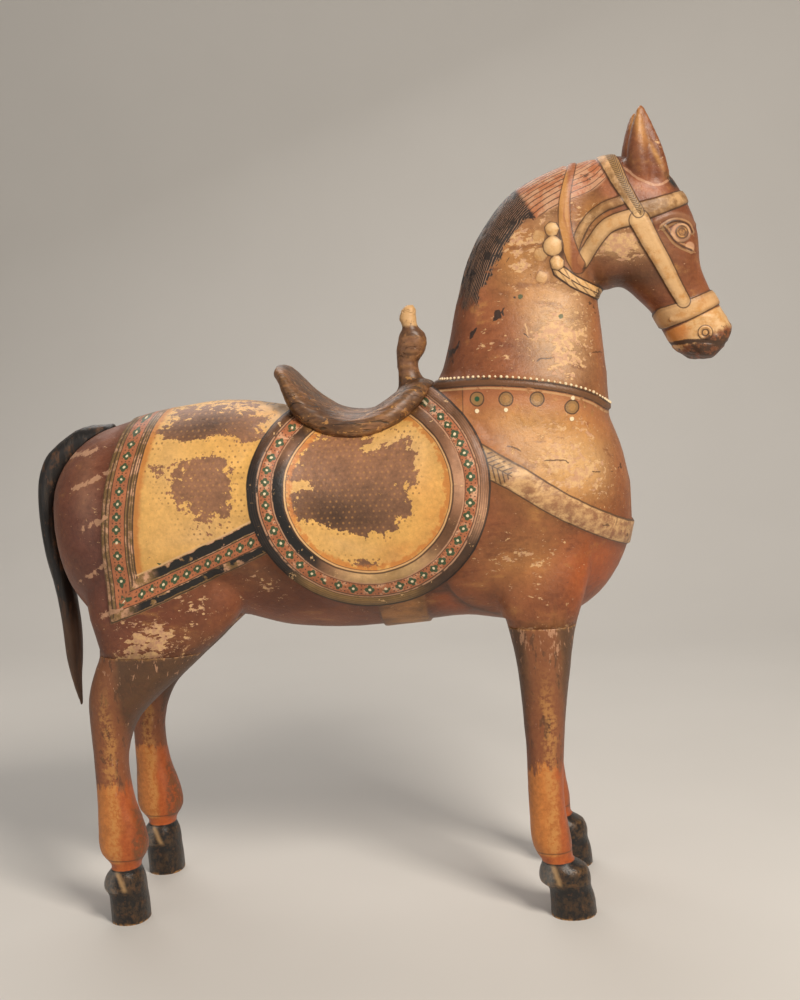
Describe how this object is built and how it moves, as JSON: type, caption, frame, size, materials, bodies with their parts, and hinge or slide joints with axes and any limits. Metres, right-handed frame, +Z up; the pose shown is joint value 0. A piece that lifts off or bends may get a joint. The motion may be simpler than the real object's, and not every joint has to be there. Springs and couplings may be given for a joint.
{
  "type": "carved and painted wooden horse statue",
  "caption": "Standing carved wooden horse with painted saddle cloth, bridle, worn gesso and a wooden saddle with a broken finial.",
  "frame": {"origin": "on the floor, under the middle of the horse's bounding box", "axes": "+X the way the horse looks, +Y its left side, +Z up"},
  "size_m": [0.9142, 0.286, 1.0009],
  "materials": {
    "painted_wood": "worn paint over gesso, satin",
    "leg_paint": "worn orange-red paint, satin",
    "tail_paint": "worn black paint, matt",
    "saddle_wood": "bare dark wood, satin"
  },
  "bodies": {
    "root": {"body": "painted_wood", "foreleg_near": "leg_paint", "foreleg_far": "leg_paint", "hindleg_near": "leg_paint", "hindleg_far": "leg_paint", "tail": "tail_paint", "saddle": "saddle_wood"}
  },
  "joints": []
}
